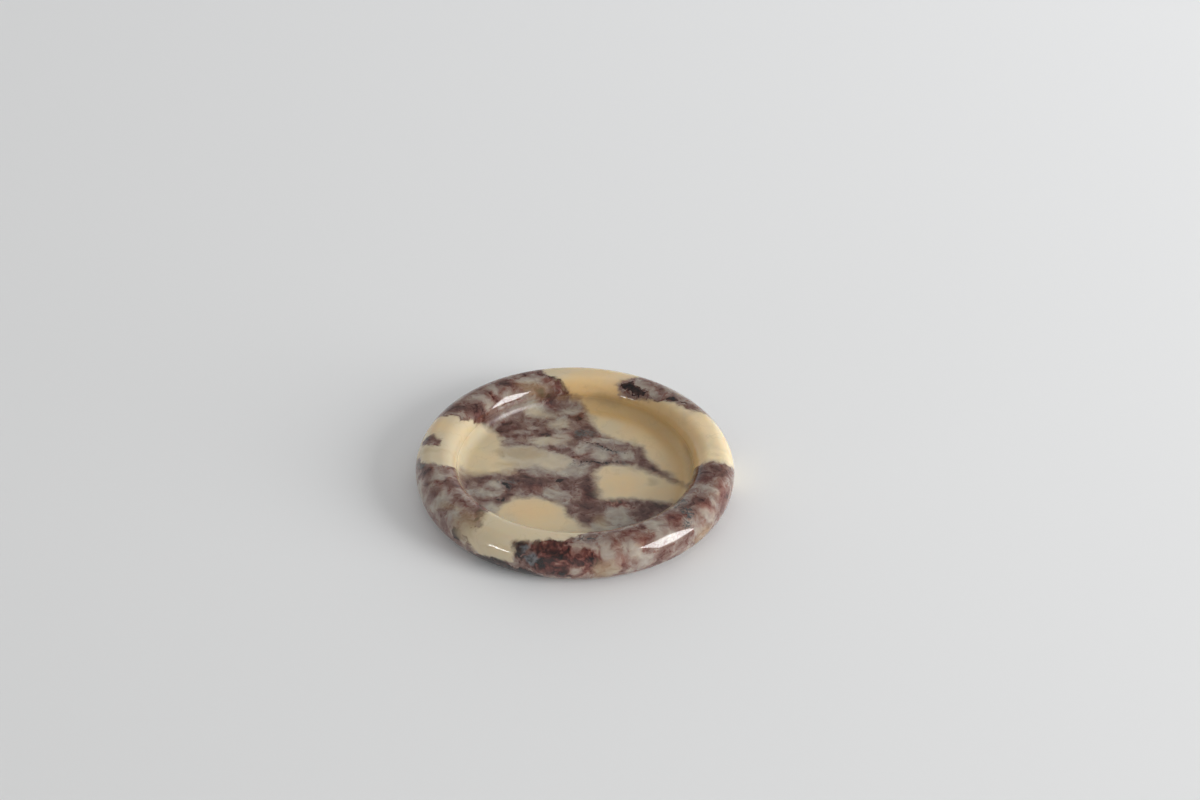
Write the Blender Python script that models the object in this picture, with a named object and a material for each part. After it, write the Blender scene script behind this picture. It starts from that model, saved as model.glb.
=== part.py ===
"""A small round tray turned from one slab of marble, standing on soft pads stuck under it.

Metres, +Z up. The origin is on the tray's axis, on the surface that the pads stand on.
"""

import math

import bpy

MM = 0.001

# The slab that the tray is turned from, and the round worked on its outer edge
TRAY_RADIUS = 75.0 * MM
STONE_THICKNESS = 19.5 * MM
EDGE_DEPTH = 8.0 * MM

# The well cut into the top of the slab
RIM_WIDTH = 19.5 * MM
FLOOR_THICKNESS = 6.0 * MM
LIP_RADIUS = 8.0 * MM
FILLET_RADIUS = 5.0 * MM

# The pads and the film of glue that holds them to the underside
PAD_COUNT = 4
PAD_RADIUS = 5.0 * MM
PAD_THICKNESS = 1.2 * MM
PAD_EDGE_RADIUS = 0.4 * MM
PAD_MARGIN = 14.0 * MM
GLUE_FILM = 0.3 * MM

# The lip takes no more than this share of the well's depth, and the fillet gets what is left
LIP_SHARE = 0.6

# How finely the round surfaces are cut
TRAY_STEPS = 72
PAD_STEPS = 24
EDGE_STEPS = 12
LIP_STEPS = 6
FILLET_STEPS = 4
PAD_EDGE_STEPS = 3
WELD_DISTANCE = 0.01 * MM

# Heights that both kinds of piece share
UNDERSIDE = PAD_THICKNESS + GLUE_FILM
TOP = UNDERSIDE + STONE_THICKNESS


def clear_scene():
    for thing in list(bpy.data.objects):
        bpy.data.objects.remove(thing)


def material(name, colour, roughness):
    """A plain finish in one colour."""
    finish = bpy.data.materials.new(name)
    finish.use_nodes = True
    shader = finish.node_tree.nodes["Principled BSDF"]
    shader.inputs["Base Color"].default_value = (*colour, 1.0)
    shader.inputs["Roughness"].default_value = roughness
    shader.inputs["Metallic"].default_value = 0.0
    return finish


def marble():
    return material("polished_marble", (0.27, 0.20, 0.14), 0.12)


def silicone():
    return material("clear_silicone", (0.45, 0.44, 0.41), 0.5)


def arc(centre, radii, start, end, steps):
    """Points on a quarter or half of an ellipse, between two angles in degrees."""
    angles = [math.radians(start + (end - start) * step / steps) for step in range(steps + 1)]
    return [(centre[0] + radii[0] * math.cos(a), centre[1] + radii[1] * math.sin(a)) for a in angles]


def without_repeats(outline):
    """The outline with each point that lies on the one before it left out."""
    kept = outline[:1]
    for point in outline[1:]:
        if math.dist(point, kept[-1]) > WELD_DISTANCE:
            kept.append(point)
    return kept


def stone_outline():
    """Half of the tray's section as (radius, height): well floor, wall, rim, outer edge, underside."""
    floor = UNDERSIDE + FLOOR_THICKNESS
    depth = TOP - floor
    wall = TRAY_RADIUS - RIM_WIDTH
    lip = min(LIP_RADIUS, RIM_WIDTH - EDGE_DEPTH, LIP_SHARE * depth)
    fillet = min(FILLET_RADIUS, depth - lip)
    middle = (UNDERSIDE + TOP) / 2
    outline = [(0.0, floor)]
    outline += arc((wall - fillet, floor + fillet), (fillet, fillet), -90, 0, FILLET_STEPS)
    outline += arc((wall + lip, TOP - lip), (lip, lip), 180, 90, LIP_STEPS)
    outline += arc((TRAY_RADIUS - EDGE_DEPTH, middle), (EDGE_DEPTH, TOP - middle), 90, -90, EDGE_STEPS)
    outline += [(0.0, UNDERSIDE)]
    return without_repeats(outline)


def pad_outline():
    """Half of a pad's section, from the middle of its glued face to the middle of its sole."""
    edge = PAD_EDGE_RADIUS
    outline = [(0.0, PAD_THICKNESS), (PAD_RADIUS, PAD_THICKNESS)]
    outline += arc((PAD_RADIUS - edge, edge), (edge, edge), 0, -90, PAD_EDGE_STEPS)
    outline += [(0.0, 0.0)]
    return without_repeats(outline)


def turned(name, outline, steps, finish):
    """A solid made by turning an outline once round the upright axis."""
    mesh = bpy.data.meshes.new(name)
    edges = [(first, first + 1) for first in range(len(outline) - 1)]
    mesh.from_pydata([(radius, 0.0, height) for radius, height in outline], edges, [])
    mesh.materials.append(finish)
    solid = bpy.data.objects.new(name, mesh)
    bpy.context.collection.objects.link(solid)
    screw = solid.modifiers.new("turn", "SCREW")
    screw.axis = "Z"
    screw.angle = math.tau
    screw.steps = screw.render_steps = steps
    screw.use_merge_vertices = True
    screw.merge_threshold = WELD_DISTANCE
    screw.use_smooth_shade = True
    return solid


def make_stone(finish):
    turned("tray_body", stone_outline(), TRAY_STEPS, finish)


def make_pads(finish):
    """Equal pads, evenly spaced, each set in from where the flat underside ends."""
    reach = TRAY_RADIUS - EDGE_DEPTH - PAD_MARGIN - PAD_RADIUS
    for number in range(PAD_COUNT):
        turn = math.tau * (number + 0.5) / PAD_COUNT
        pad = turned(f"pad_{number + 1}", pad_outline(), PAD_STEPS, finish)
        pad.location = (reach * math.cos(turn), reach * math.sin(turn), 0.0)


clear_scene()
make_stone(marble())
make_pads(silicone())
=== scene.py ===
import math

import bmesh
import bpy
from mathutils import Matrix, Vector


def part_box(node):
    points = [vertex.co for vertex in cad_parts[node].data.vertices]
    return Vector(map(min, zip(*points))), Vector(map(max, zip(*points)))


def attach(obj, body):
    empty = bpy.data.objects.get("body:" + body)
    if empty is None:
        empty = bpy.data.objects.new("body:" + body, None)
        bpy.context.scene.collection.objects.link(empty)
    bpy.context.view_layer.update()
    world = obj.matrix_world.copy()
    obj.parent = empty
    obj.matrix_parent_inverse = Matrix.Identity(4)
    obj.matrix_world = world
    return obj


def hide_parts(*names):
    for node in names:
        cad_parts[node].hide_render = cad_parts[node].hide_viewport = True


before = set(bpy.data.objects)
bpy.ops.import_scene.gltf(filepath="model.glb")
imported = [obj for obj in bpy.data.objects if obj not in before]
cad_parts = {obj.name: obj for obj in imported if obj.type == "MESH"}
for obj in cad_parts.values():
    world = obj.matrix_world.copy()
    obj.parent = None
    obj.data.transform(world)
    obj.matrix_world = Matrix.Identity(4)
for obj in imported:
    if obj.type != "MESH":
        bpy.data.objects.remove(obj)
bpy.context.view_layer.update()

# The view
# The photograph is 1200 by 800, taken with a normal lens from in front of the tray and above it, held
# a little crooked. The tray's axis meets the table at a known pixel, and that fixes the camera.
MM = 0.001
PHOTO_WIDTH, PHOTO_HEIGHT = 1200, 800
TRAY_PIXEL_X, TRAY_PIXEL_Y = 575.0, 484.9
SENSOR_WIDTH = 36.0
LENS = 50.0
LOOK_DOWN = math.radians(35.0)
TILT = math.radians(1.55)
CAMERA_DISTANCE = 793.7 * MM


def placed(name, data):
    """A new object in the scene."""
    thing = bpy.data.objects.new(name, data)
    bpy.context.scene.collection.objects.link(thing)
    return thing


focal_pixels = LENS / SENSOR_WIDTH * PHOTO_WIDTH
right = Vector((1.0, 0.0, 0.0))
up = Vector((0.0, math.sin(LOOK_DOWN), math.cos(LOOK_DOWN)))
back = right.cross(up)
level = Matrix((right, up, back)).transposed()
camera_turn = level @ Matrix.Rotation(TILT, 3, "Z")
sight = Vector((
    (TRAY_PIXEL_X - PHOTO_WIDTH / 2) / focal_pixels,
    (PHOTO_HEIGHT / 2 - TRAY_PIXEL_Y) / focal_pixels,
    -1.0,
)).normalized()

lens = bpy.data.cameras.new("camera")
lens.lens = LENS
lens.sensor_width = SENSOR_WIDTH
camera = placed("camera", lens)
camera.matrix_world = Matrix.Translation(-(camera_turn @ sight) * CAMERA_DISTANCE) @ camera_turn.to_4x4()
bpy.context.scene.camera = camera

# The tray
# One block of veined marble, turned and polished: a flat well with a rounded fillet, a wall that rolls
# over a broad lip onto a flat crest, and a full round outer edge. It has no joints of any kind.
RIM_WIDTH = 19.5 * MM
WELL_HEIGHT = 7.5 * MM
EDGE_DEPTH = 8.0 * MM
LIP_RADIUS = 8.0 * MM
FILLET_RADIUS = 5.0 * MM
WAVE_DEPTH = 0.05 * MM
WAVES_PER_METRE = 45.0
WAVE_DETAIL = 1.0
TRAY_TURNS = 384
WELL_RINGS = 36
WALL_RINGS = 2
CREST_RINGS = 4
ROUND_RINGS = 14
EDGE_RINGS = 44
WELD = 0.005 * MM


def feed(tree, node, values):
    """Fills a node's inputs; each value is a number, a vector, a colour or another node's output."""
    for name, value in values.items():
        if isinstance(value, bpy.types.NodeSocket):
            tree.links.new(value, node.inputs[name])
        else:
            node.inputs[name].default_value = value


def add(tree, kind, values=None, **settings):
    """A new node with its settings and inputs."""
    node = tree.nodes.new(kind)
    for name, setting in settings.items():
        setattr(node, name, setting)
    feed(tree, node, values or {})
    return node


def maths(tree, operation, first, second=0.0, third=0.0):
    """One sum on numbers."""
    values = {0: first, 1: second, 2: third}
    return add(tree, "ShaderNodeMath", values, operation=operation).outputs[0]


def vector_maths(tree, operation, values):
    """One sum on vectors."""
    return add(tree, "ShaderNodeVectorMath", values, operation=operation).outputs[0]


def new_tree(name, kind, inputs, outputs):
    """A node group with named sockets, and its input and output nodes."""
    tree = bpy.data.node_groups.new(name, kind)
    for socket, socket_type in inputs.items():
        tree.interface.new_socket(socket, in_out="INPUT", socket_type="NodeSocket" + socket_type)
    for socket, socket_type in outputs.items():
        tree.interface.new_socket(socket, in_out="OUTPUT", socket_type="NodeSocket" + socket_type)
    return tree, tree.nodes.new("NodeGroupInput").outputs, tree.nodes.new("NodeGroupOutput").inputs


def grown(name, tree, sizes, finish):
    """The plain mesh that a geometry tree makes from the given sizes."""
    piece = placed(name, bpy.data.meshes.new(name))
    modifier = piece.modifiers.new(name, "NODES")
    modifier.node_group = tree
    values = {**sizes, "Finish": finish}
    for socket in tree.interface.items_tree:
        if socket.in_out == "INPUT":
            modifier[socket.identifier] = values[socket.name]
    evaluated = piece.evaluated_get(bpy.context.evaluated_depsgraph_get())
    mesh = bpy.data.meshes.new_from_object(evaluated)
    piece.modifiers.remove(modifier)
    piece.data = mesh
    mesh.name = name
    loose = bmesh.new()
    loose.from_mesh(mesh)
    bmesh.ops.recalc_face_normals(loose, faces=loose.faces)
    loose.to_mesh(mesh)
    loose.free()
    return piece


def spot(tree, across, height):
    """A point of a section."""
    return add(tree, "ShaderNodeCombineXYZ", {"X": across, "Y": height}).outputs[0]


def straight(tree, start, end, rings):
    """A straight stretch of a section, between two points."""
    line = add(tree, "GeometryNodeCurvePrimitiveLine", {"Start": start, "End": end})
    return add(tree, "GeometryNodeResampleCurve", {"Curve": line.outputs[0], "Count": rings}).outputs[0]


def bend(tree, middle, half_size, start, sweep, rings):
    """A round stretch of a section: part of an ellipse, between two angles in degrees."""
    angles = {"Radius": 1.0, "Start Angle": math.radians(start), "Sweep Angle": math.radians(sweep)}
    arc = add(tree, "GeometryNodeCurveArc", {"Resolution": rings, **angles}, mode="RADIUS")
    place = {"Geometry": arc.outputs[0], "Translation": middle, "Scale": half_size}
    return add(tree, "GeometryNodeTransform", place).outputs[0]


def turned(tree, stretches, radius, turns):
    """A lathe: half a section, with points as (across, height), swept once round the upright axis."""
    section = add(tree, "GeometryNodeJoinGeometry")
    for stretch in stretches:
        tree.links.new(stretch, section.inputs[0])
    # The sweep sets a section's points out from the circle, and turns it upside down.
    outward = add(tree, "ShaderNodeCombineXYZ", {"X": maths(tree, "MULTIPLY", radius, -1.0)}).outputs[0]
    upside_down = {"Geometry": section.outputs[0], "Translation": outward, "Scale": (1.0, -1.0, 1.0)}
    hung = add(tree, "GeometryNodeTransform", upside_down).outputs[0]
    circle = add(tree, "GeometryNodeCurvePrimitiveCircle", {"Resolution": turns, "Radius": radius})
    sweep = {"Curve": circle.outputs[0], "Profile Curve": hung}
    swept = add(tree, "GeometryNodeCurveToMesh", sweep).outputs[0]
    return add(tree, "GeometryNodeMergeByDistance", {"Geometry": swept, "Distance": WELD}).outputs[0]


def finish_mesh(tree, mesh, finish, output):
    """Ends a geometry tree: smooth, real and with its material."""
    smooth = add(tree, "GeometryNodeSetShadeSmooth", {"Geometry": mesh}).outputs[0]
    real = add(tree, "GeometryNodeRealizeInstances", {"Geometry": smooth}).outputs[0]
    finished = add(tree, "GeometryNodeSetMaterial", {"Geometry": real, "Material": finish}).outputs[0]
    tree.links.new(finished, output)


def turning_tree():
    """The tray's section in straight and round stretches, turned."""
    sizes = (
        "Radius", "Underside", "Top", "Rim Width", "Well Height",
        "Edge Depth", "Lip", "Fillet", "Wave",
    )
    inputs = {**{size: "Float" for size in sizes}, "Finish": "Material"}
    tree, given, made = new_tree("turned_stone", "GeometryNodeTree", inputs, {"Mesh": "Geometry"})
    radius, underside, top, well = (given[size] for size in ("Radius", "Underside", "Top", "Well Height"))
    fillet, lip, edge = (given[size] for size in ("Fillet", "Lip", "Edge Depth"))
    wall = maths(tree, "SUBTRACT", radius, given["Rim Width"])
    fillet_middle = maths(tree, "SUBTRACT", wall, fillet)
    fillet_top = maths(tree, "ADD", well, fillet)
    lip_middle = maths(tree, "ADD", wall, lip)
    lip_foot = maths(tree, "SUBTRACT", top, lip)
    edge_middle = maths(tree, "SUBTRACT", radius, edge)
    half_height = maths(tree, "MULTIPLY", maths(tree, "SUBTRACT", top, underside), 0.5)
    edge_spot = spot(tree, edge_middle, maths(tree, "ADD", underside, half_height))
    closed = turned(tree, (
        straight(tree, spot(tree, 0.0, well), spot(tree, fillet_middle, well), WELL_RINGS),
        bend(tree, spot(tree, fillet_middle, fillet_top), spot(tree, fillet, fillet), -90, 90, ROUND_RINGS),
        straight(tree, spot(tree, wall, fillet_top), spot(tree, wall, lip_foot), WALL_RINGS),
        bend(tree, spot(tree, lip_middle, lip_foot), spot(tree, lip, lip), 180, -90, ROUND_RINGS),
        straight(tree, spot(tree, lip_middle, top), spot(tree, edge_middle, top), CREST_RINGS),
        bend(tree, edge_spot, spot(tree, edge, half_height), 90, -180, EDGE_RINGS),
        straight(tree, spot(tree, edge_middle, underside), spot(tree, 0.0, underside), WELL_RINGS),
    ), radius, TRAY_TURNS)
    # Hand polishing leaves the surface a few hundredths of a millimetre uneven, never proud of its size.
    waves = add(tree, "ShaderNodeTexNoise", {"Scale": WAVES_PER_METRE, "Detail": WAVE_DETAIL}).outputs[0]
    inward = maths(tree, "MULTIPLY", waves, maths(tree, "MULTIPLY", given["Wave"], -1.0))
    outwards = add(tree, "GeometryNodeInputNormal").outputs[0]
    offset = vector_maths(tree, "SCALE", {0: outwards, "Scale": inward})
    worn = add(tree, "GeometryNodeSetPosition", {"Geometry": closed, "Offset": offset}).outputs[0]
    finish_mesh(tree, worn, given["Finish"], made["Mesh"])
    return tree


# The stone: cream fragments in a purple-brown ground, among pale, dark, black, red, rose, green and slate
# ones, with milky, tan and ochre patches; some tan and ochre at the right and back of the well is painted
# shade. Each fragment is an ellipsoid that runs through the block: its middle and half size in mm, and its
# turn about the upright in degrees.
CREAM = {
    "front of the well": ((-19, -33, 6), (17, 14, 9), -12),
    "front of the well, right": ((-5, -38.5, 6), (13, 6.5, 8), -42),
    "front of the well, foot": ((-6, -43, 8), (14, 6, 8), -4),
    "front wall": ((-15, -48, 12), (20, 8, 9), -10),
    "front rim": ((-18, -53, 19), (22, 14, 10), -6),
    "front rim, left": ((-31, -55, 17), (11, 12, 8), -30),
    "front rim, right": ((-3, -58.5, 19), (12, 5, 8), 12),
    "right of the middle": ((24, -6, 6), (14, 13, 9), -8),
    "right of the middle, corner": ((15, 1, 6), (7, 6, 8), 20),
    "right of the middle, foot": ((30, -13.5, 6), (16, 6.5, 8), 0),
    "right of the middle, end": ((42, -13, 6), (12, 8, 8), -4),
    "back of the well": ((29, 38, 8), (24, 14, 12), -25),
    "right of the well": ((46.5, 18.5, 8), (13, 19, 14), 22),
    "right of the well, end": ((51, -1, 8), (5, 7, 8), 20),
    "back right lip": ((45, 36, 17), (14, 6, 8), -38),
    "right rim": ((64, 10, 14), (17, 19, 16), 0),
    "right rim, back": ((59, 25, 12), (10, 12, 14), 20),
    "back rim": ((6.5, 67, 14), (27.5, 12.5, 16), 0),
    "back wall": ((12, 54, 12), (10, 9, 10), 0),
    "left of the well": ((-47, 16, 6), (12, 20, 9), 5),
    "left of the well, foot": ((-41, 4, 6), (13, 7.5, 7), -3),
    "left rim": ((-63, 5.5, 18), (14, 20, 14), 6),
    "left lip": ((-52, 10, 14), (8, 18, 9), 5),
    "front left edge": ((-34, -62, 14.5), (14, 8, 6.5), -28),
    "right of the middle, shoulder": ((37, -7, 6), (9, 7, 8), -25),
    "right of the middle, low corner": ((17.5, -16, 6), (6.5, 5, 7), 0),
    "back left edge": ((-52, 53, 3), (8, 6, 4), -42),
    "front rim, tongue": ((-5, -63.5, 20), (4.5, 4, 5), 0),
}
PALE = {
    "band across the well": ((-26, 11, 6), (15, 8.5, 8), 0),
    "band across the well, middle": ((-13, 8, 6), (12, 9, 8), 0),
    "band across the well, right": ((-3, 3, 6), (9, 7, 8), -15),
    "above the band": ((-15, 23.5, 6), (9, 4.5, 5), -5),
    "back left of the well": ((-9, 39, 6), (5.5, 4.5, 5), 10),
    "back fillet": ((-20, 48, 10), (9, 4, 8), -12),
    "back fillet, right": ((-4, 50, 8), (5, 3, 6), 0),
    "back left, small": ((-7, 29.5, 6), (5, 3.5, 4), 0),
    "between the creams": ((12, 15, 6), (6, 4.5, 5), 10),
    "between the creams, back": ((14, 25, 6), (9, 2.5, 5), 5),
    "between the creams, right": ((24, 14, 6), (4, 4, 4), 0),
    "between the creams, left": ((3, 19, 6), (3.5, 5, 4), 0),
    "below the band": ((-20, -1.5, 6), (4.5, 2.2, 4), -15),
    "left of the well": ((-38, -12, 6), (4, 3.2, 5), 20),
    "left of the well, small": ((-45, -17.5, 7), (4.5, 2.8, 4), -20),
    "left of the well, smaller": ((-37, -17.5, 6), (2.5, 2.2, 4), -20),
    "left fillet": ((-46, -27, 9), (3, 5, 5), 30),
    "left of the well, front": ((-38, -28, 6), (5, 3.5, 5), -40),
    "halo over the front cream": ((-8, -17.5, 6), (7, 4, 5), -35),
    "front right of the well": ((20, -32, 6), (7, 7.5, 6), 0),
    "front of the well": ((14, -41, 6), (7, 5, 6), 0),
    "right rim, lilac": ((56, -47, 17), (3.5, 3, 4), 20),
    "right rim, front": ((61, -41, 17), (4.5, 3, 5), 30),
    "right rim": ((62, -28, 18), (4, 3.5, 5), 0),
    "right rim, low": ((64, -50, 10), (7, 4, 6), 30),
    "front rim": ((7.7, -68.6, 20), (5, 2.8, 4), -10),
    "front rim, small": ((3, -70.6, 19.5), (2.4, 2, 3), 0),
    "front rim, streak": ((16, -69, 18), (2.8, 8, 6), 8),
    "front rim, right": ((27, -68, 18), (4.5, 3.2, 5), 15),
    "front rim, tan": ((12.3, -74, 12), (3, 3, 3.5), 0),
    "front edge, small": ((1.5, -75, 11), (2.8, 3, 2.8), 0),
    "front edge, right": ((33, -68, 12), (4.5, 4, 4), 0),
    "front lip": ((35, -53, 21), (3.5, 2.5, 4), 30),
    "front rim, behind the light": ((40, -58, 20), (6, 4, 5), 30),
    "left rim": ((-62, -22, 20), (4.5, 4, 5), 0),
    "left rim, middle": ((-59, -37.5, 20), (4.5, 4, 5), 40),
    "left rim, front": ((-53, -48.5, 18.5), (3.8, 3.2, 5), 40),
    "left edge": ((-71, -25, 14), (4, 6, 5), 20),
    "left rim, tan": ((-46, -58, 16), (5, 4, 5), -35),
    "back left rim": ((-46, 39, 19), (6, 2.3, 6), -15),
    "back left rim, bluish": ((-42, 48.5, 20), (3.5, 2, 4), 20),
    "back left rim, pinkish": ((-23, 57.5, 20), (6.5, 2.4, 5), 8),
    "back left lip": ((-36, 45.5, 19), (3, 1.8, 4), 20),
    "back right rim": ((32, 54, 21), (3.5, 2.2, 4), -30),
    "back right rim, second": ((38, 49, 21), (3.5, 2, 4), -35),
    "back right edge": ((47, 52, 18), (9, 4, 6), -45),
    "front rim, tan right": ((17.5, -73, 11), (3.4, 3, 4), 0),
    "back left edge": ((-56, 46, 9), (9, 4, 5), -42),
    "back left edge, low": ((-66, 32, 6), (5, 5, 4), 0),
    "back left edge, high": ((-39, 62, 11), (6, 4, 5), -30),
    "back left edge, small": ((-28, 67, 6), (4, 3, 3), -20),
    "back right edge, low": ((55, 49, 7), (8, 5, 5), -45),
    "back left of the well, lilac": ((-28, 30.5, 6), (3, 1.2, 3), 0),
    "back left of the well, second": ((-22, 35, 6), (3, 1.2, 3), 10),
}
DARK = {
    "front right of the well": ((37, -26, 6), (9.5, 6, 5), -8),
    "front right of the well, left": ((32, -29, 6), (5, 7, 5), 0),
    "left rim, spot": ((-67, 4, 19), (4.5, 5, 4), 0),
    "left rim": ((-69, -16, 18), (5, 5, 6), 0),
    "left rim, second": ((-66, -26, 18), (4, 2.5, 5), 10),
    "left rim, third": ((-57, -29, 20), (5, 2.2, 4), -10),
    "back left rim": ((-58, 33, 20), (8, 5.5, 6), 0),
    "back left lip": ((-50, 32, 18), (6, 5, 6), 30),
    "back left rim, streak": ((-42, 44, 20), (5, 2, 4), 20),
    "back left rim, grey": ((-37, 53, 21), (4, 3, 4), 0),
    "back rim, left end": ((-13, 59.5, 20), (9, 1.6, 5), -28),
    "back rim, brown": ((-22, 52, 19), (6, 2, 5), -10),
    "left of the well": ((-45, -7, 6), (6, 4, 4), 0),
    "left of the well, middle": ((-41, -22, 6), (5, 2.5, 4), -20),
    "left of the well, stroke": ((-30, -16, 6), (2, 6, 4), -20),
    "middle of the well, left": ((-25, -3, 6), (7, 7, 5), 0),
    "middle of the well": ((-18, -9, 6), (11, 6, 5), 0),
    "middle of the well, right": ((0, -9, 6), (9, 5, 5), -10),
    "middle of the well, far right": ((8, -12, 6), (5, 9, 5), 15),
    "middle of the well, front": ((7, -28, 6), (5, 11, 5), 10),
    "back left of the well": ((-31, 33, 6), (7, 8, 5), 12),
    "back left of the well, small": ((-15, 30, 6), (4.5, 2.2, 4), 10),
    "back left of the well, edge": ((-16, 39, 6), (2, 4, 4), 0),
    "back of the well": ((5, 34, 6), (6, 5, 4), -40),
    "back of the well, left": ((-1, 46, 7), (3.5, 5, 5), 0),
    "middle of the well, back": ((0, 25, 6), (4, 5, 4), 0),
    "between the creams": ((20.5, 21.5, 6), (3.5, 1.8, 3), 0),
    "between the creams, edge": ((28, 18, 6), (1.2, 3, 3), -10),
    "between the creams, top": ((10, 23, 6), (4, 0.9, 3), 0),
    "between the creams, band": ((36, 6, 6), (9, 2.6, 4), -38),
    "between the creams, band end": ((45, -3, 6), (5, 2.0, 4), -38),
    "back left wall": ((-44, 34, 12), (4, 4, 5), 30),
    "front edge": ((-5, -73, 16), (10, 3, 4), 0),
    "front rim": ((-10, -70.5, 18.5), (6, 1.8, 3), -15),
    "front edge, right": ((5, -73.5, 15), (6, 3, 3), 0),
    "right rim": ((62, -14, 19), (9, 5, 6), 0),
    "right rim, front": ((54, -40, 20), (5, 4, 5), 30),
    "back left edge": ((-63, 40, 13), (7, 4, 5), -50),
    "back left edge, low": ((-47, 56, 6), (9, 4, 4), -38),
    "back left edge, high": ((-31, 66, 14), (5, 4, 4), -25),
    "back right edge": ((44, 59, 12), (7, 4, 5), -40),
    "front edge, low": ((-7, -74, 10), (9, 4, 4), 0),
}
INK = {
    "back rim": ((25, 54, 20), (3.5, 3, 5), -10),
    "back rim, streak": ((29, 51.5, 19), (4.5, 2.2, 5), -25),
    "back rim, tip": ((21.5, 55.5, 20), (1.6, 1.0, 3), 0),
    "back rim, left end": ((-11, 58.6, 20), (6, 0.7, 4), -28),
    "back right rim": ((46, 44, 21), (2.5, 1.2, 3), -30),
    "back right rim, end": ((52, 41, 21), (2, 0.8, 3), -30),
    "left edge": ((-51, -55, 13), (3, 3, 3), 0),
    "left of the well": ((-33.5, -22, 6), (1.8, 1.4, 3), 0),
    "front rim": ((-24, -67.6, 19), (3.8, 1.8, 3), 20),
    "front edge": ((-13.4, -73.5, 13.8), (1.8, 1.5, 1.6), 0),
    # Partly painted shade: dark where the foot meets the table.
    "front left foot": ((-33, -66, 1.5), (16, 7, 9), -28),
    "middle of the well": ((-7, -7.5, 6), (1.2, 1.5, 3), 0),
    "back left of the well": ((-14, 28.5, 6), (1.6, 1.0, 3), 0),
    "front rim, side": ((-22, -70, 15), (2, 1.8, 4), 0),
    "front rim, top": ((-19, -66.8, 20.5), (2, 0.7, 3), 0),
    "left of the well, mark": ((-32, -11, 6), (1.0, 2.2, 3), 15),
    "vein over the middle cream": ((11, 8.7, 6), (5, 0.4, 3), 0),
    "vein between the creams": ((12, 20.5, 6), (5, 0.3, 3), -25),
    "front left rim": ((-40, -55.5, 20.5), (1.2, 1.8, 2), 0),
    "front rim, corner": ((-23.4, -68.2, 18.6), (3.2, 2.6, 3.2), 0),
    # Partly painted shade: dark where the foot meets the table.
    "front foot": ((-21, -70, 3), (9, 4.5, 6), -18),
    "front left rim, behind": ((-43, -53, 21), (1.3, 1.1, 2), 0),
}
RED = {
    "front edge": ((-2, -73, 15), (18, 5, 8), 0),
    "front rim": ((-9, -67.5, 20), (9, 3, 5), 0),
    "front right of the well": ((20, -23, 6), (6, 3, 4), -8),
    "left rim, front": ((-42, -50, 20), (2.2, 3, 4), 0),
    "right of the well": ((36, -1, 6), (2, 5, 4), -10),
    "right of the well, end": ((46, -4, 6), (2.5, 2, 4), 0),
    "back of the well": ((1.5, 46, 6), (1.6, 5, 4), 0),
    "back lip": ((-1, 56.5, 17), (4.5, 1.0, 3), 0),
    "back wall": ((6, 55, 15), (2, 0.9, 2), 0),
    "back of the well, dash": ((-12, 19.5, 6), (2.5, 1, 3), 0),
    "between the creams": ((6, 15, 6), (4, 1.3, 3), -15),
    "between the creams, left": ((1, 12, 6), (3, 1.2, 3), 20),
    "left of the well": ((-33, 15, 6), (1.5, 1.2, 2), 0),
    "back left rim, dash": ((-42, 43.5, 20), (2.5, 1.2, 3), -20),
    "back left wall": ((-19, 52.4, 15), (3, 1.4, 4), 0),
    "back left wall, low": ((-13.6, 53, 10), (2.5, 1.4, 3), 0),
    "back lip, left": ((-10, 55.5, 17), (2.5, 1, 3), 0),
    "back rim, left": ((-16, 58, 20), (2.5, 0.8, 3), -20),
    "right rim, mark": ((50, -46, 20), (2.5, 1, 3), 30),
}
ROSE = {
    "front rim, right": ((26, -60, 21), (5, 3, 5), 0),
    "front rim, second": ((31, -64, 20), (3, 3, 4), 0),
    "front rim, dash": ((20, -66, 20), (1.2, 4, 4), 10),
    "front rim, low": ((23, -72, 15), (4, 3, 4), 0),
    "right rim, front": ((44, -48, 20), (5, 4, 6), 30),
    "right rim": ((60, -38, 20), (5, 2.5, 4), 10),
    "right rim, back": ((58, -20, 20), (5, 2.5, 4), 0),
    "right edge": ((68, -24, 16), (4, 10, 6), 10),
    "back left rim": ((-31, 53, 20), (4, 1.4, 4), 25),
    "back left lip": ((-48, 31, 16), (4, 3, 4), 0),
    "back left of the well": ((-4, 30, 6), (4, 2, 4), 0),
    "middle of the well": ((-19, -13, 6), (5, 3, 4), 0),
    "middle of the well, right": ((8, -16, 6), (4, 6, 4), 15),
    "front left lip": ((-41, -44, 18), (3, 4, 5), 0),
}
GREEN = {
    "left of the well": ((-32, -11.5, 6), (1.6, 3, 3), 15),
    "left of the well, streak": ((-32, -8.3, 6), (4.5, 1.0, 3), 5),
    "between the creams": ((19.5, 16.7, 6), (2.6, 1.8, 3), -10),
    "between the creams, diagonal": ((12, 19.5, 6), (5, 0.7, 3), -25),
    "vein over the middle cream": ((12, 8.7, 6), (6, 0.8, 3), 0),
    "vein over the middle cream, left": ((3, 7, 6), (4, 1.0, 3), 10),
    "vein over the middle cream, right": ((25, 7.8, 6), (2.6, 0.8, 3), -45),
    "right rim": ((48, -37, 20), (2.6, 4, 5), 10),
    "right rim, middle": ((51, -44, 20), (2.6, 3.5, 4), 0),
    "right rim, foot": ((50, -50, 18), (1.8, 2.5, 4), 0),
    "front rim": ((7, -64, 21), (4.5, 1.6, 4), 5),
    "back of the well": ((4, 31, 6), (4.5, 3, 4), 10),
    "left rim": ((-70, -9, 17), (4, 5, 6), 0),
}
SLATE = {
    "front edge": ((-16.6, -72.2, 15), (3.2, 3, 3.2), 0),
    "front rim": ((-20.0, -69.3, 18.9), (1.3, 1.4, 2), 0),
}
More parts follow.
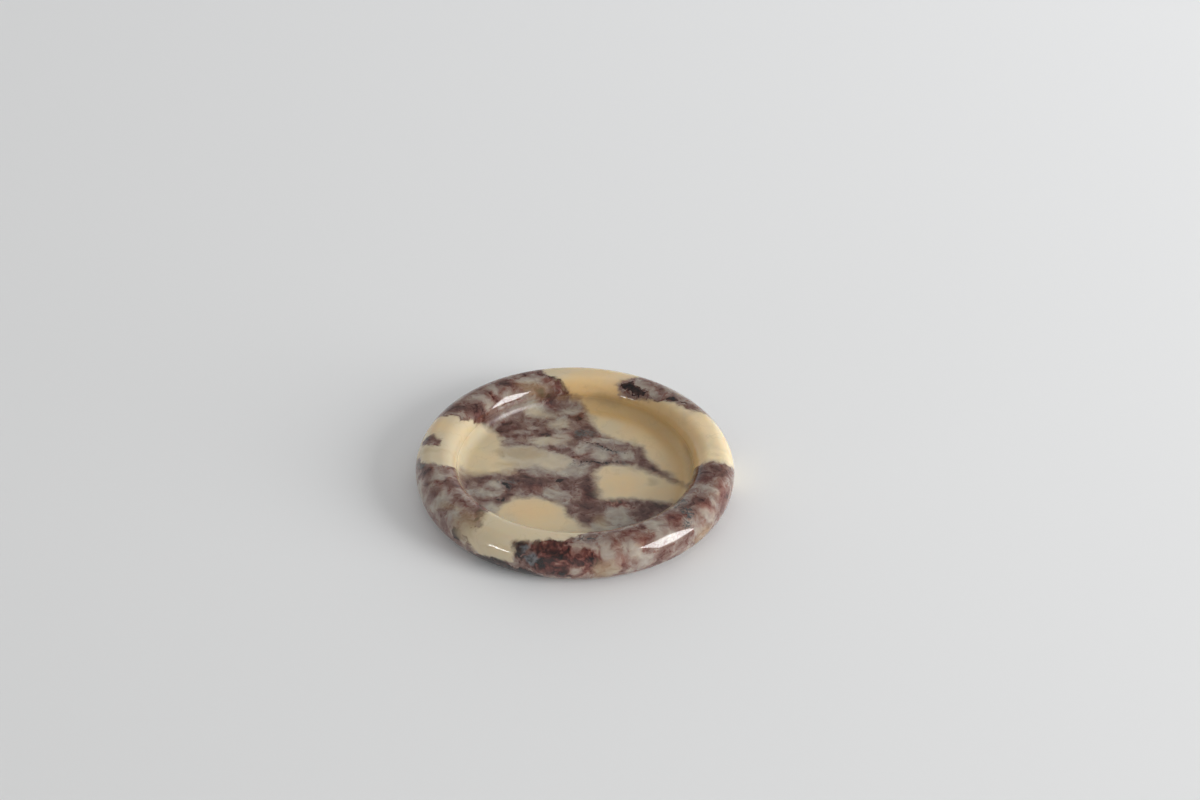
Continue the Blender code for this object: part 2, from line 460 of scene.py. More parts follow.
MILK = {
    "band across the well": ((-26, 11, 6), (14, 7.5, 8), 0),
    "band across the well, middle": ((-12, 8, 6), (9, 6.5, 6), 0),
    "back fillet": ((-20, 47, 8), (6, 2.5, 4), -12),
    "left of the well": ((-36, 10, 6), (7, 9, 5), 0),
    "left rim, front": ((-45, -58, 16), (5, 5, 5), -30),
    "back left of the well": ((-9, 38.5, 6), (4.5, 3, 4), 0),
    "above the band": ((-14, 24.3, 6), (8, 2.8, 4), 0),
}
TAN_AND_WALL_SHADE = {
    "band across the well": ((-25, 14, 6), (9, 5, 5), 0),
    "left of the well": ((-35, 13, 6), (3, 3, 4), 0),
    "left of the well, edge": ((-32, 4.5, 6), (5, 1.5, 3), 10),
    "between the creams": ((28, 24, 6), (2, 3.5, 3), 0),
    "middle cream, corner": ((27, 4, 6), (3, 1.5, 3), -30),
    "middle cream, side": ((36, -6, 6), (3, 3, 3), 0),
    "front of the well": ((13, -36, 6), (3, 4, 4), 0),
    "left rim, front": ((-47, -54, 17), (6, 7, 6), -30),
    "left rim, brown": ((-41, -51, 20), (3, 4.5, 4), 0),
    "front edge": ((15, -74, 10), (6, 4, 6), 0),
    "right edge": ((62, -48, 8), (8, 6, 8), 0),
    "back left lip": ((-22, 53, 18), (8, 3, 5), 0),
    # Painted shade: the darker, yellower colour of the well's shaded right wall.
    "right wall": ((55, 4, 11), (2.5, 20, 6), 4),
    "left of the well, foot": ((-43, -2, 6), (10, 1.4, 3), 0),
    "left rim, line": ((-55.5, -43.5, 19.5), (5, 1.0, 3), -25),
    # Painted shade: the darker colour of the well's shaded back wall.
    "back wall": ((16, 55, 10), (13, 4, 5), -12),
    "left rim, under the spot": ((-68, -3.5, 17), (7, 1.6, 6), 0),
}
OCHRE_AND_WELL_SHADE = {
    # Painted shade: this row paints warm, darker shade on the well's right lip.
    "right lip": ((57.5, 12, 17), (3, 20, 7), 6),
    "right of the middle": ((22, -8, 6), (9, 8, 5), 0),
    "right of the middle, end": ((38, -14, 6), (7, 3, 5), 0),
    "front of the well": ((-19, -30, 6), (11, 8, 5), -10),
    "back rim": ((10, 60, 19), (14, 7, 8), -8),
    "back rim, top": ((6, 68, 18), (10, 3, 5), 0),
    # Painted shade: this row and the three after it paint warm, darker shade on the well's right wall and
    # back right.
    "back of the well": ((40, 25, 6), (6, 10, 5), 20),
    "right wall": ((54, 6, 11), (4, 22, 7), 4),
    "right of the well": ((46, 8, 6), (7, 14, 5), 10),
    "back of the well, middle": ((30, 36, 6), (9, 7, 6), -25),
    "left rim, back": ((-66, 17, 18), (6, 6, 8), 0),
}
# Three dark marks lie over the cream: a spot on the left rim, and two at the front foot that are partly
# dark stone and partly painted shade where the foot meets the table.
DARK_OVER_CREAM = {
    "rim": DARK["left rim, spot"],
    "foot": INK["front left foot"],
    "front": INK["front foot"],
}
# Each kind of fragment but the cream: its places, how far outside and inside its outline it fades in mm,
# how ragged the outline is, and how much of the kind shows
KINDS = {
    "dark": (DARK, 1.8, -1.8, 0.5, 1.0),
    "pale": (PALE, 2.0, -2.0, 0.5, 0.95),
    "red": (RED, 1.3, -1.2, 1.0, 1.0),
    "rose": (ROSE, 2.0, -2.0, 0.8, 0.75),
    "green": (GREEN, 1.1, -0.9, 1.5, 1.0),
    "ink": (INK, 0.4, -0.4, 1.1, 1.0),
    "slate": (SLATE, 0.7, -0.7, 0.5, 0.9),
    "milk": (MILK, 3.0, -3.0, 0.8, 0.7),
    "ochre": (OCHRE_AND_WELL_SHADE, 6.0, -6.0, 1.2, 0.6),
    "tan": (TAN_AND_WALL_SHADE, 2.0, -2.0, 0.5, 0.45),
    "dark_over_cream": (DARK_OVER_CREAM, 0.9, -0.9, 0.5, 1.0),
}
# Colours from the darkest to the palest tone, for the ground and for where it turns red or green
PLUM_TONES = {
    0.00: (0.010, 0.005, 0.004),
    0.20: (0.050, 0.023, 0.019),
    0.40: (0.142, 0.070, 0.056),
    0.55: (0.225, 0.148, 0.122),
    0.70: (0.315, 0.266, 0.226),
    0.85: (0.425, 0.385, 0.320),
    1.00: (0.540, 0.490, 0.395),
}
RED_TONES = {
    0.00: (0.008, 0.003, 0.002),
    0.25: (0.050, 0.012, 0.009),
    0.45: (0.140, 0.038, 0.028),
    0.60: (0.230, 0.098, 0.072),
    0.80: (0.360, 0.250, 0.190),
    1.00: (0.500, 0.420, 0.320),
}
GREEN_TONES = {
    0.00: (0.007, 0.007, 0.007),
    0.25: (0.028, 0.029, 0.027),
    0.45: (0.080, 0.082, 0.078),
    0.65: (0.175, 0.178, 0.168),
    0.85: (0.330, 0.320, 0.275),
    1.00: (0.450, 0.420, 0.340),
}
# Painted light and shade: the cream is darker on the left and in the well, and paler on the right.
CREAM_SHADED_LEFT, CREAM_LIT_RIGHT = (0.575, 0.487, 0.340), (0.810, 0.680, 0.445)
CREAM_SHADED_IN_WELL, WALL_SHADE_COLOUR = (0.670, 0.550, 0.352), (0.610, 0.405, 0.165)
OCHRE_AND_SHADE_COLOUR, WHEY_COLOUR = (0.720, 0.515, 0.275), (0.590, 0.510, 0.365)
SLATE_DEEP, SLATE_LIGHT = (0.050, 0.050, 0.053), (0.160, 0.170, 0.177)
FRINGE_COLOUR, TAN_AND_SHADE_COLOUR = (0.100, 0.038, 0.024), (0.360, 0.260, 0.140)
# What tears the outlines, from large to small: the size of the patches that move together and how far they
# move, in mm, and the detail in them
LARGE_BEND, SMALL_BEND, TEAR = (9.0, 2.4, 1.0), (4.0, 1.5, 1.0), (1.8, 0.6, 1.5)
# Cloudy patterns: the size of their patches in mm, the detail in them, and how rough it is
CLOUDS, MOTTLE, GRAIN = (5.5, 1.5, 0.5), (2.2, 1.5, 0.5), (0.8, 2.0, 0.5)
TEARS, SEAMS, HAIRLINES = (1.2, 2.0, 0.5), (7.5, 1.0, 0.5), (16.0, 3.0, 0.5)
# How strongly tears move an outline, and how far fragments that touch melt together, in mm
TEAR_DEPTH, FRAGMENT_MELT, CREAM_MELT = 3.0, 1.0, 2.5
# Patterns that show only in the thick of a cloud: the same, and the thickness at which they begin and end
SPECKS = {
    "thread": (5.0, 2.0, 0.5, 0.0, 0.14),
    "green": (1.3, 2.0, 0.5, -0.14, 0.06),
    "rust": (2.6, 2.0, 0.6, 0.02, 0.20),
    "soft edge": (14.0, 2.0, 0.5, -0.12, 0.12),
    "veil": (12.0, 2.0, 0.5, -0.08, 0.20),
    "fringe": (3.5, 2.0, 0.5, 0.02, 0.12),
}
# Tones run from 0, nearly black, to 1, nearly white. The ground, the pale and the green have tones of their
# own, and the other kinds shift the tone of what they lie in.
GROUND_TONE, GROUND_CLOUDS, GROUND_MOTTLE, GROUND_GRAIN = 0.55, 0.85, 0.22, 0.22
PALE_TONE, PALE_CLOUDS, PALE_MOTTLE, PALE_IN_WELL = 0.74, 0.6, 0.15, 0.08
GREEN_TONE_RIM, GREEN_TONE_WELL, GREEN_MOTTLE, GREEN_TONE_SHARE = 0.45, 0.56, 0.6, 0.8
SHIFTS = {"dark": -0.15, "thread": -0.13, "red": -0.15, "rose": -0.05, "ink": -0.48, "rust": -0.09}
THREAD_WIDTH = 0.05
RED_ON_PALE, RUST_ON_PALE = 0.15, 0.3
RUST_REDNESS = 0.7
SLATE_MOTTLE = (-0.22, 0.10)
# The cream: how ragged it is, how soft its edges are, in mm, and how much shows of what lies over it
CREAM_RAGGEDNESS = 0.35
SHARP_EDGE, SOFTER_EDGE, SOFTER_IN_WELL = 0.5, 0.9, 1.3
VEIL_SHARE, WHEY_BORDER = 0.6, 3.5
HAIRLINE_WIDTH, HAIRLINE_SHARE = 0.016, 0.14
WALL_SHADE_SHARE = 0.8
FRINGE_OUTSIDE, FRINGE_INSIDE = (1.6, 0.5), (-0.4, 0.3)
FRINGE_ON_RIM, FRINGE_IN_WELL = 0.7, 0.2
# Where a finish or a colour begins and ends, in mm: out from the axis, to the right, or above the table
WELL_SIDE, WELL_TOP = (60.0, 59.0), (15.0, 12.0)
CREAM_ACROSS, CREAM_INWARD = (-45.0, 70.0), (64.0, 48.0)
WALL_SHADE_INNER_SIDE, WALL_SHADE_OUTER_SIDE, WALL_SHADE_BACK_RIGHT = (44.0, 51.0), (63.0, 56.0), (5.0, 45.0)
HONED_TOP = (8.0, 2.5)
# The rim is polished to a mirror, and the well, where a wheel barely reaches, to a soft shine. The
# underside is only honed flat. Light comes out some millimetres from where it went in, the red furthest.
RIM_ROUGHNESS, WELL_ROUGHNESS, UNDERSIDE_ROUGHNESS = 0.06, 0.34, 0.45
MARBLE_IOR = 1.6
GLOW_REACH = 5.0 * MM
GLOW_COLOURS = (1.0, 0.7, 0.45)


def fragment_tree():
    """How far a point lies outside an ellipsoid, in millimetres; inside it is below zero."""
    inputs = {"Point": "Vector", "Middle": "Vector", "Half Size": "Vector", "Turn": "Float"}
    tree, given, made = new_tree("fragment", "ShaderNodeTree", inputs, {"Distance": "Float"})
    offset = vector_maths(tree, "SUBTRACT", {0: given["Point"], 1: given["Middle"]})
    turn = {"Vector": offset, "Angle": given["Turn"]}
    unturned = add(tree, "ShaderNodeVectorRotate", turn, rotation_type="Z_AXIS", invert=True).outputs[0]
    shares = vector_maths(tree, "DIVIDE", {0: unturned, 1: given["Half Size"]})
    reach = add(tree, "ShaderNodeVectorMath", {0: shares}, operation="LENGTH").outputs["Value"]
    sides = add(tree, "ShaderNodeSeparateXYZ", {0: given["Half Size"]}).outputs
    narrow = maths(tree, "MINIMUM", sides["X"], sides["Y"])
    tree.links.new(maths(tree, "MULTIPLY", maths(tree, "SUBTRACT", reach, 1.0), narrow), made["Distance"])
    return tree


def wander_tree():
    """Moves a point about by a cloudy amount, so that plain outlines come out torn."""
    inputs = {"Point": "Vector", "Patch": "Float", "Reach": "Float", "Detail": "Float"}
    tree, given, made = new_tree("wander", "ShaderNodeTree", inputs, {"Point": "Vector"})
    scale = maths(tree, "DIVIDE", 1.0, given["Patch"])
    noise = {"Vector": given["Point"], "Scale": scale, "Detail": given["Detail"]}
    clouds = add(tree, "ShaderNodeTexNoise", noise).outputs["Color"]
    centred = vector_maths(tree, "SUBTRACT", {0: clouds, 1: (0.5, 0.5, 0.5)})
    width = maths(tree, "MULTIPLY", given["Reach"], 2.0)
    stray = vector_maths(tree, "SCALE", {0: centred, "Scale": width})
    tree.links.new(vector_maths(tree, "ADD", {0: given["Point"], 1: stray}), made["Point"])
    return tree


def new_finish(name):
    """A material, its node tree and its shader."""
    finish = bpy.data.materials.new(name)
    finish.use_nodes = True
    return finish, finish.node_tree, finish.node_tree.nodes["Principled BSDF"]


def in_millimetres(tree):
    """The place of a point of the surface, in mm."""
    metres = add(tree, "ShaderNodeTexCoord").outputs["Object"]
    return vector_maths(tree, "SCALE", {0: metres, "Scale": 1 / MM})


def group(tree, made_tree, values):
    """One use of a node group."""
    return add(tree, "ShaderNodeGroup", values, node_tree=made_tree).outputs[0]


def cloud(tree, point, patch, detail, roughness):
    """Cloudy values on both sides of zero, in patches of so many millimetres."""
    values = {"Vector": point, "Scale": 1.0 / patch, "Detail": detail, "Roughness": roughness}
    return maths(tree, "SUBTRACT", add(tree, "ShaderNodeTexNoise", values).outputs[0], 0.5)


def ease(tree, value, start, end):
    """0 before start, 1 after end, and smooth between them."""
    limits = {"Value": value, "From Min": start, "From Max": end}
    return add(tree, "ShaderNodeMapRange", limits, interpolation_type="SMOOTHSTEP").outputs[0]


def specks(tree, point, patch, detail, roughness, start, end):
    """1 in the thick of a cloud and 0 outside it."""
    return ease(tree, cloud(tree, point, patch, detail, roughness), start, end)


def times(tree, first, second):
    """The product of two values."""
    return maths(tree, "MULTIPLY", first, second)


def total(tree, first, *others):
    """The sum of some values."""
    for other in others:
        first = maths(tree, "ADD", first, other)
    return first


def between(tree, share, first, second):
    """The first value where share is 0, the second where it is 1."""
    return add(tree, "ShaderNodeMix", {0: share, 2: first, 3: second}, data_type="FLOAT").outputs[0]


def blend(tree, share, first, second):
    """The first colour where share is 0, the second where it is 1."""
    first, second = ((*colour, 1.0) if isinstance(colour, tuple) else colour for colour in (first, second))
    return add(tree, "ShaderNodeMix", {0: share, 6: first, 7: second}, data_type="RGBA").outputs[2]


def toned(tree, tone, tones):
    """The colour of a tone on a scale of colours."""
    ramp = add(tree, "ShaderNodeValToRGB", {0: tone})
    stops = ramp.color_ramp.elements
    while len(stops) < len(tones):
        stops.new(0.5)
    for stop, (position, colour) in zip(stops, tones.items()):
        stop.position = position
        stop.color = (*colour, 1.0)
    return ramp.outputs[0]


def paint_marble(tree, shader):
    """The stone's colour and polish. The pattern is solid, so it runs unbroken over every edge."""
    fragment, wander = fragment_tree(), wander_tree()

    def strayed(start, patch, reach, detail):
        """A point moved about, to tear what is drawn with it."""
        return group(tree, wander, {"Point": start, "Patch": patch, "Reach": reach, "Detail": detail})

    point = in_millimetres(tree)
    bent = strayed(strayed(point, *LARGE_BEND), *SMALL_BEND)
    torn = strayed(bent, *TEAR)
    clouds, mottle, grain = (cloud(tree, torn, *pattern) for pattern in (CLOUDS, MOTTLE, GRAIN))
    tears = times(tree, cloud(tree, torn, *TEARS), TEAR_DEPTH)

    def distance_to(places, melt):
        """How far a point lies outside the nearest of the fragments."""
        distance = None
        for middle, half_size, turn in places.values():
            values = {"Point": torn, "Middle": middle, "Half Size": half_size, "Turn": math.radians(turn)}
            one = group(tree, fragment, values)
            distance = one if distance is None else maths(tree, "SMOOTH_MIN", distance, one, melt)
        return distance

    def inside(places, outer, inner, raggedness, share):
        """0 outside the fragments of a kind, and the kind's share inside them."""
        distance = total(tree, distance_to(places, FRAGMENT_MELT), times(tree, tears, raggedness))
        return times(tree, ease(tree, distance, outer, inner), share)

    def shifted(tone, *patterns):
        """A tone with patterns added, each as strongly as the number with it says."""
        return total(tree, tone, *(times(tree, pattern, strength) for pattern, strength in patterns))

    shows = {kind: inside(*settings) for kind, settings in KINDS.items()}
    # Where the surface lies: on the rim, in the well or underneath
    place = add(tree, "ShaderNodeSeparateXYZ", {0: point}).outputs
    squares = (times(tree, place[axis], place[axis]) for axis in ("X", "Y"))
    across = maths(tree, "SQRT", total(tree, *squares))
    well = times(tree, ease(tree, across, *WELL_SIDE), ease(tree, place["Z"], *WELL_TOP))

    # Tone: the ground is cloudy, and fragments and thin broken threads lift or lower it.
    tone = shifted(GROUND_TONE, (clouds, GROUND_CLOUDS), (mottle, GROUND_MOTTLE), (grain, GROUND_GRAIN))
    tone = shifted(tone, (shows["dark"], SHIFTS["dark"]))
    pale = shows["pale"]
    lifted = shifted(PALE_TONE, (well, PALE_IN_WELL), (clouds, PALE_CLOUDS), (mottle, PALE_MOTTLE))
    tone = between(tree, pale, tone, lifted)
    seam = maths(tree, "ABSOLUTE", cloud(tree, torn, *SEAMS))
    thread = times(tree, ease(tree, seam, THREAD_WIDTH, 0.0), specks(tree, bent, *SPECKS["thread"]))
    tone = shifted(tone, (thread, SHIFTS["thread"]))
    red = times(tree, shows["red"], between(tree, pale, 1.0, RED_ON_PALE))
    tone = shifted(tone, (red, total(tree, SHIFTS["red"], mottle)))
    rose = shows["rose"]
    tone = shifted(tone, (rose, SHIFTS["rose"]))
    green = times(tree, shows["green"], specks(tree, torn, *SPECKS["green"]))
    green_tone = shifted(between(tree, well, GREEN_TONE_RIM, GREEN_TONE_WELL), (mottle, GREEN_MOTTLE))
    tone = between(tree, times(tree, green, GREEN_TONE_SHARE), tone, green_tone)
    tone = shifted(tone, (shows["ink"], SHIFTS["ink"]))
    rust = times(tree, specks(tree, torn, *SPECKS["rust"]), between(tree, pale, 1.0, RUST_ON_PALE))
    tone = shifted(tone, (rust, SHIFTS["rust"]))

    # Colour: plum, red where there are red, rose or rusty fragments, grey-green, slate or milky in places
    redness = maths(tree, "MAXIMUM", rose, times(tree, rust, RUST_REDNESS))
    redness = maths(tree, "MAXIMUM", red, redness)
    colour = blend(tree, redness, toned(tree, tone, PLUM_TONES), toned(tree, tone, RED_TONES))
    colour = blend(tree, green, colour, toned(tree, tone, GREEN_TONES))
    slate = blend(tree, ease(tree, mottle, *SLATE_MOTTLE), SLATE_DEEP, SLATE_LIGHT)
    colour = blend(tree, shows["slate"], colour, slate)
    colour = blend(tree, shows["milk"], colour, WHEY_COLOUR)

    # Cream: smooth and a little cloudy, whey-coloured at its border, soft at the edge in some places and
    # sharp in others. Painted shade: a warm, darker colour lies on the foot of the wall on the right.
    softer = times(tree, specks(tree, point, *SPECKS["soft edge"]), SOFTER_EDGE)
    softness = total(tree, SHARP_EDGE, softer, times(tree, well, SOFTER_IN_WELL))
    distance = total(tree, distance_to(CREAM, CREAM_MELT), times(tree, tears, CREAM_RAGGEDNESS))
    # Painted light and shade: the cream darkens to the left and in the well and pales to the right.
    cream = blend(tree, ease(tree, place["X"], *CREAM_ACROSS), CREAM_SHADED_LEFT, CREAM_LIT_RIGHT)
    cream = blend(tree, ease(tree, across, *CREAM_INWARD), cream, CREAM_SHADED_IN_WELL)
    veil = times(tree, specks(tree, bent, *SPECKS["veil"]), VEIL_SHARE)
    veil = maths(tree, "MAXIMUM", veil, ease(tree, distance, -WHEY_BORDER, 0.0))
    cream = blend(tree, veil, cream, WHEY_COLOUR)
    # Painted shade: warm and darker along the foot of the well's right and back right wall, where it lies in
    # shade.
    painted_wall_shade = times(tree, ease(tree, across, *WALL_SHADE_INNER_SIDE), ease(tree, across, *WALL_SHADE_OUTER_SIDE))
    painted_wall_shade = times(tree, painted_wall_shade, ease(tree, total(tree, place["X"], place["Y"]), *WALL_SHADE_BACK_RIGHT))
    cream = blend(tree, times(tree, painted_wall_shade, WALL_SHADE_SHARE), cream, WALL_SHADE_COLOUR)
    hairline = ease(tree, maths(tree, "ABSOLUTE", cloud(tree, bent, *HAIRLINES)), HAIRLINE_WIDTH, 0.0)
    cream = blend(tree, times(tree, hairline, HAIRLINE_SHARE), cream, TAN_AND_SHADE_COLOUR)
    # The ochre rows at the well's right and back right paint shade there.
    cream = blend(tree, shows["ochre"], cream, OCHRE_AND_SHADE_COLOUR)
    solid = ease(tree, distance, softness, times(tree, softness, -1.0))
    solid = times(tree, solid, maths(tree, "SUBTRACT", 1.0, shows["dark_over_cream"]))
    colour = blend(tree, solid, colour, cream)

    # A dark red stain follows the edge of the cream here and there, and tan spreads over both. On the
    # well's right and back wall the tan is painted shade.
    fringe = times(tree, ease(tree, distance, *FRINGE_OUTSIDE), ease(tree, distance, *FRINGE_INSIDE))
    fringe = times(tree, fringe, specks(tree, torn, *SPECKS["fringe"]))
    fringe = times(tree, fringe, between(tree, well, FRINGE_ON_RIM, FRINGE_IN_WELL))
    colour = blend(tree, fringe, colour, FRINGE_COLOUR)
    colour = blend(tree, shows["tan"], colour, TAN_AND_SHADE_COLOUR)
    roughness = between(tree, well, RIM_ROUGHNESS, WELL_ROUGHNESS)
    roughness = between(tree, ease(tree, place["Z"], *HONED_TOP), roughness, UNDERSIDE_ROUGHNESS)
    feed(tree, shader, {
        "Base Color": colour, "Roughness": roughness, "IOR": MARBLE_IOR, "Subsurface Weight": 1.0,
        "Subsurface Radius": GLOW_COLOURS, "Subsurface Scale": GLOW_REACH,
    })


veined_marble, stone_tree, stone_shader = new_finish("veined_marble")
paint_marble(stone_tree, stone_shader)
tray_low, tray_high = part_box("tray_body")
tray = grown("stone_tray", turning_tree(), {
    "Radius": tray_high.x, "Underside": tray_low.z, "Top": tray_high.z,
    "Rim Width": RIM_WIDTH, "Well Height": WELL_HEIGHT, "Edge Depth": EDGE_DEPTH,
    "Lip": LIP_RADIUS, "Fillet": FILLET_RADIUS, "Wave": WAVE_DEPTH,
}, veined_marble)
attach(tray, "root")
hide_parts("tray_body")

# The pads
# Four clear silicone bumpers that keep the stone off the table: thin moulded discs, rounded where they meet
# the table, with a shallow dish in each sole. Silicone clouds a little, and picks up fine dust.
PAD_COUNT = 4
PAD_TOP_EDGE = 0.1 * MM
PAD_FOOT_EDGE = 0.4 * MM
DISH_RADIUS = 3.2 * MM
DISH_DEPTH = 0.12 * MM
DISC_TURNS = 64
TOP_RINGS, TOP_EDGE_RINGS, SIDE_RINGS = 8, 5, 2
FOOT_EDGE_RINGS, SOLE_RINGS, DISH_RINGS = 8, 3, 12
SILICONE_CLEAR, SILICONE_CLOUDY = (0.560, 0.560, 0.535), (0.660, 0.660, 0.640)
SILICONE_CLOUDS = (2.5, 3.0, 0.5, -0.15, 0.20)
SILICONE_DUST = (0.35, 3.0, 0.7, 0.06, 0.18)
CLEAN_ROUGHNESS, DUSTY_ROUGHNESS = 0.34, 0.62
DUST_HEIGHT, DUST_STRENGTH = 0.02 * MM, 0.5
SILICONE_IOR = 1.41
SILICONE_CLEARNESS = 0.55


def disc_tree():
    """A ring of equal turned discs, each with rounded edges and a dished sole."""
    sizes = (
        "Radius", "Thickness", "Height", "Top Edge", "Foot Edge",
        "Dish Radius", "Dish Depth", "Reach", "Turn",
    )
    inputs = {**{size: "Float" for size in sizes}, "Count": "Int", "Finish": "Material"}
    tree, given, made = new_tree("ring_of_discs", "GeometryNodeTree", inputs, {"Mesh": "Geometry"})
    radius, thickness, dish = (given[size] for size in ("Radius", "Thickness", "Dish Radius"))
    top_edge, foot_edge = (given[size] for size in ("Top Edge", "Foot Edge"))
    top_corner = maths(tree, "SUBTRACT", radius, top_edge)
    top_middle = maths(tree, "SUBTRACT", thickness, top_edge)
    foot_corner = maths(tree, "SUBTRACT", radius, foot_edge)
    top_spot = spot(tree, top_corner, top_middle)
    foot_spot = spot(tree, foot_corner, foot_edge)
    disc = turned(tree, (
        straight(tree, spot(tree, 0.0, thickness), spot(tree, top_corner, thickness), TOP_RINGS),
        bend(tree, top_spot, spot(tree, top_edge, top_edge), 90, -90, TOP_EDGE_RINGS),
        straight(tree, spot(tree, radius, top_middle), spot(tree, radius, foot_edge), SIDE_RINGS),
        bend(tree, foot_spot, spot(tree, foot_edge, foot_edge), 0, -90, FOOT_EDGE_RINGS),
        straight(tree, spot(tree, foot_corner, 0.0), spot(tree, dish, 0.0), SOLE_RINGS),
        bend(tree, spot(tree, 0.0, 0.0), spot(tree, dish, given["Dish Depth"]), 0, 90, DISH_RINGS),
    ), radius, DISC_TURNS)
    ring = add(tree, "GeometryNodeMeshCircle", {"Vertices": given["Count"], "Radius": given["Reach"]})
    lift = add(tree, "ShaderNodeCombineXYZ", {"Z": given["Height"]}).outputs[0]
    swing = add(tree, "ShaderNodeCombineXYZ", {"Z": given["Turn"]}).outputs[0]
    move = {"Geometry": ring.outputs[0], "Translation": lift, "Rotation": swing}
    places = add(tree, "GeometryNodeTransform", move).outputs[0]
    discs = add(tree, "GeometryNodeInstanceOnPoints", {"Points": places, "Instance": disc}).outputs[0]
    finish_mesh(tree, discs, given["Finish"], made["Mesh"])
    return tree


clear_silicone, moulded, silicone_shader = new_finish("clear_silicone")
silicone_point = in_millimetres(moulded)
clouding = specks(moulded, silicone_point, *SILICONE_CLOUDS)
dust = specks(moulded, silicone_point, *SILICONE_DUST)
skin = {"Height": dust, "Distance": DUST_HEIGHT, "Strength": DUST_STRENGTH}
feed(moulded, silicone_shader, {
    "Base Color": blend(moulded, clouding, SILICONE_CLEAR, SILICONE_CLOUDY),
    "Roughness": between(moulded, dust, CLEAN_ROUGHNESS, DUSTY_ROUGHNESS),
    "Normal": add(moulded, "ShaderNodeBump", skin).outputs[0],
    "IOR": SILICONE_IOR,
    "Transmission Weight": SILICONE_CLEARNESS,
})

pad_low, pad_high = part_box("pad_1")
pad_middle = (pad_low + pad_high) / 2
pad_radius = (pad_high.x - pad_low.x) / 2
pad_ring = {
    "Reach": math.hypot(pad_middle.x, pad_middle.y),
    "Turn": math.atan2(pad_middle.y, pad_middle.x),
    "Count": PAD_COUNT,
}
ring_of_discs = disc_tree()
pads = grown("pads", ring_of_discs, {
    "Radius": pad_radius, "Thickness": pad_high.z - pad_low.z, "Height": pad_low.z,
    "Top Edge": PAD_TOP_EDGE, "Foot Edge": PAD_FOOT_EDGE,
    "Dish Radius": DISH_RADIUS, "Dish Depth": DISH_DEPTH, **pad_ring,
}, clear_silicone)
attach(pads, "root")
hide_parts("pad_1", "pad_2", "pad_3", "pad_4")

# The glue
# A film of clear glue holds each pad to the stone. It is pressed out round at its edge, a little inside
# the pad's, and has cured with a slight haze.
FILM_MARGIN = 0.25 * MM
FILM_EDGE_SHARE, FILM_DISH_SHARE = 0.49, 0.1
GLUE_CLEAR, GLUE_HAZY = (0.700, 0.680, 0.600), (0.780, 0.770, 0.710)
GLUE_HAZE = (0.8, 4.0, 0.6, -0.10, 0.15)
GLUE_CLEAR_ROUGHNESS, GLUE_HAZY_ROUGHNESS = 0.12, 0.30
GLUE_IOR = 1.47
GLUE_CLEARNESS = 0.8

clear_glue, cured, glue_shader = new_finish("clear_glue")
haze = specks(cured, in_millimetres(cured), *GLUE_HAZE)
feed(cured, glue_shader, {
    "Base Color": blend(cured, haze, GLUE_CLEAR, GLUE_HAZY),
    "Roughness": between(cured, haze, GLUE_CLEAR_ROUGHNESS, GLUE_HAZY_ROUGHNESS),
    "IOR": GLUE_IOR,
    "Transmission Weight": GLUE_CLEARNESS,
})

film = tray_low.z - pad_high.z
film_edge = film * FILM_EDGE_SHARE
glue_films = grown("glue_films", ring_of_discs, {
    "Radius": pad_radius - FILM_MARGIN, "Thickness": film, "Height": pad_high.z,
    "Top Edge": film_edge, "Foot Edge": film_edge,
    "Dish Radius": DISH_RADIUS, "Dish Depth": film * FILM_DISH_SHARE, **pad_ring,
}, clear_glue)
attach(glue_films, "root")

# The setting
# A pale table top, one tall soft light on the right, a little askew, and a low narrow one on the left
# towards the camera, in a pale room. Lengths are in metres, and the lights' places and sizes in degrees.
WHITE = (1.0, 1.0, 1.0, 1.0)
FLOOR_HALF = 3.0
# Painted light and shade: the floor's colour is darker in front, where shade falls, and paler to the right
# and back.
FLOOR_NEAR, FLOOR_FAR = (0.618, 0.620, 0.617), (0.899, 0.907, 0.914)
# From the near colour, 0, to the far one, 1: under the tray, and for each metre to the right and to the back
FLOOR_MIDDLE, FLOOR_PALER_RIGHT, FLOOR_PALER_BACK = 0.5, 0.35, 0.56
FLOOR_ROUGHNESS = 0.9
# A faint glow of the floor that lights nothing else
FLOOR_SEEN = 0.04
# The room's even light and the glow low at its back, and how bright it looks itself and in mirrors
ROOM_LIGHT, ROOM_GLOW = 0.50, 1.2
ROOM_OVERHEAD, ROOM_HORIZON = 0.25, 0.74
LIGHT_DISTANCE = 3.0
SOFTBOX = {"side": -24, "height": 15, "width": 27, "tall": 42, "askew": 17, "radiance": 8.0}
WINDOW = {"side": -137, "height": 3, "width": 14, "tall": 6, "askew": 0, "radiance": 8.0}


def seen_rays(tree):
    """1 for the rays that show a thing to the camera, straight or in a mirror or through glass."""
    rays = add(tree, "ShaderNodeLightPath").outputs
    return total(tree, *(rays[f"Is {kind} Ray"] for kind in ("Camera", "Glossy", "Transmission")))


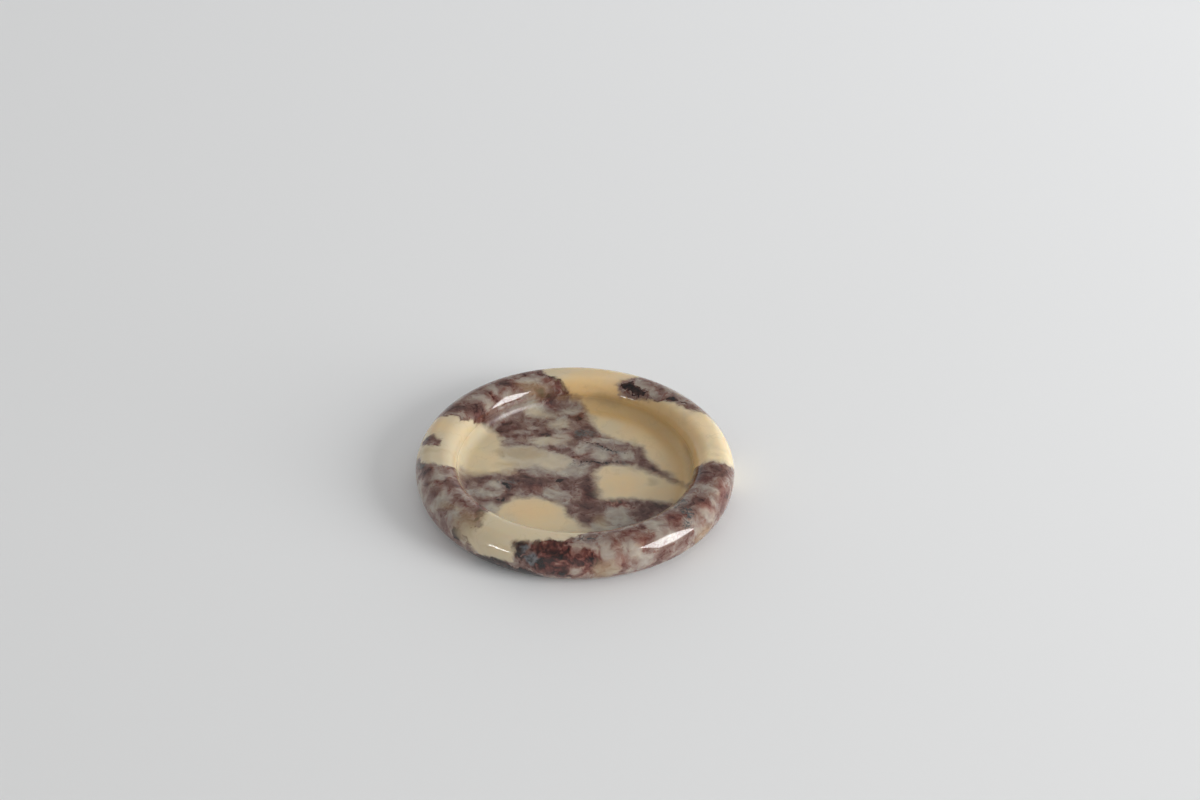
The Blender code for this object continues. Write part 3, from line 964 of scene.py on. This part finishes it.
paper, surface, floor_shader = new_finish("paper")
metres = add(surface, "ShaderNodeTexCoord").outputs["Object"]
place = add(surface, "ShaderNodeSeparateXYZ", {0: metres}).outputs
# Painted light and shade: darker in front, paler to the right and to the back.
rightward = times(surface, place["X"], FLOOR_PALER_RIGHT)
backward = times(surface, place["Y"], FLOOR_PALER_BACK)
away = total(surface, FLOOR_MIDDLE, rightward, backward)
feed(surface, floor_shader, {
    "Base Color": blend(surface, away, FLOOR_NEAR, FLOOR_FAR),
    "Roughness": FLOOR_ROUGHNESS,
    "Emission Color": WHITE,
    "Emission Strength": times(surface, seen_rays(surface), FLOOR_SEEN),
})
sheet = bpy.data.meshes.new("floor")
corners = [(x, y, 0.0) for x, y in ((-1, -1), (1, -1), (1, 1), (-1, 1))]
sheet.from_pydata([Vector(corner) * FLOOR_HALF for corner in corners], [], [(0, 1, 2, 3)])
sheet.materials.append(paper)
floor = placed("floor", sheet)

world = bpy.data.worlds.new("room")
bpy.context.scene.world = world
world.use_nodes = True
air = world.node_tree
direction = add(air, "ShaderNodeTexCoord").outputs["Generated"]
skyward = add(air, "ShaderNodeSeparateXYZ", {0: direction}).outputs
low = maths(air, "SUBTRACT", 1.0, maths(air, "MAXIMUM", skyward["Z"], 0.0))
skyline = times(air, low, low)
glow = times(air, maths(air, "MAXIMUM", skyward["Y"], 0.0), skyline)
lit = total(air, ROOM_LIGHT, times(air, glow, ROOM_GLOW))
seen = between(air, skyline, ROOM_OVERHEAD, ROOM_HORIZON)
feed(air, air.nodes["Background"], {"Color": WHITE, "Strength": between(air, seen_rays(air), lit, seen)})


def soft_light(name, side, height, width, tall, askew, radiance):
    """A rectangular light that faces the tray, placed and sized by the angles at which the tray sees it."""
    side, height, askew = (math.radians(angle) for angle in (side, height, askew))
    data = bpy.data.lights.new(name, "AREA")
    data.shape = "RECTANGLE"
    data.size = 2 * LIGHT_DISTANCE * math.tan(math.radians(width) / 2)
    data.size_y = 2 * LIGHT_DISTANCE * math.tan(math.radians(tall) / 2)
    # An area light of one watt sends a quarter of a unit of radiance for each square metre.
    data.energy = 4 * radiance * data.size * data.size_y
    light = placed(name, data)
    level_share = math.cos(height)
    towards = Vector((level_share * math.cos(side), level_share * math.sin(side), math.sin(height)))
    facing = towards.to_track_quat("Z", "Y").to_matrix() @ Matrix.Rotation(askew, 3, "Z")
    light.matrix_world = Matrix.Translation(towards * LIGHT_DISTANCE) @ facing.to_4x4()


soft_light("softbox", **SOFTBOX)
soft_light("window", **WINDOW)
bpy.context.scene.view_settings.view_transform = "Standard"
